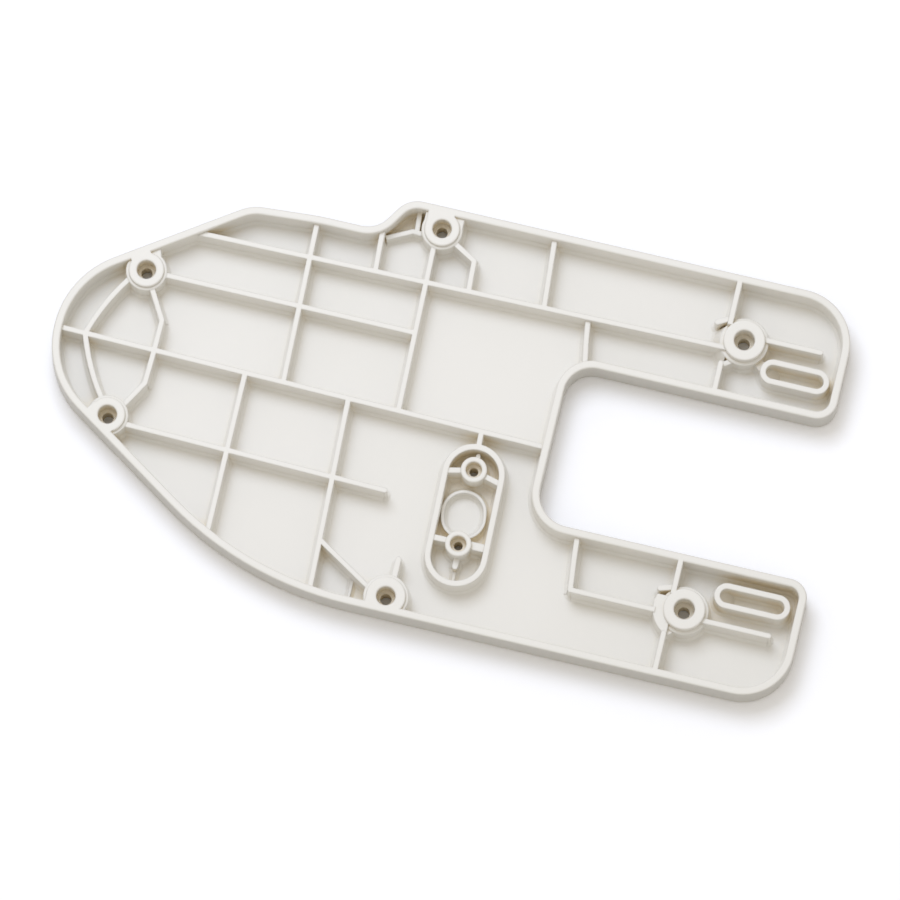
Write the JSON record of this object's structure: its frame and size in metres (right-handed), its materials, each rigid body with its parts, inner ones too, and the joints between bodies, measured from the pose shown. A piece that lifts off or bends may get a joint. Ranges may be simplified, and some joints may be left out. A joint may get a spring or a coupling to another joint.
{
  "type": "housing half",
  "caption": "Shallow moulded housing half: a flat tray with a rounded nose, a deep notch between its arms, stiffening ribs and recessed screw bosses.",
  "frame": {"origin": "on the show face, below the middle of the outline's box", "axes": "+X from the rounded nose to the arms, +Y across the tray, +Z from the show face to the ribbed side"},
  "size_m": [0.242, 0.1278, 0.011],
  "materials": {
    "base_housing": "satin, moulded"
  },
  "bodies": {
    "root": {"base_housing": "base_housing"}
  },
  "joints": []
}
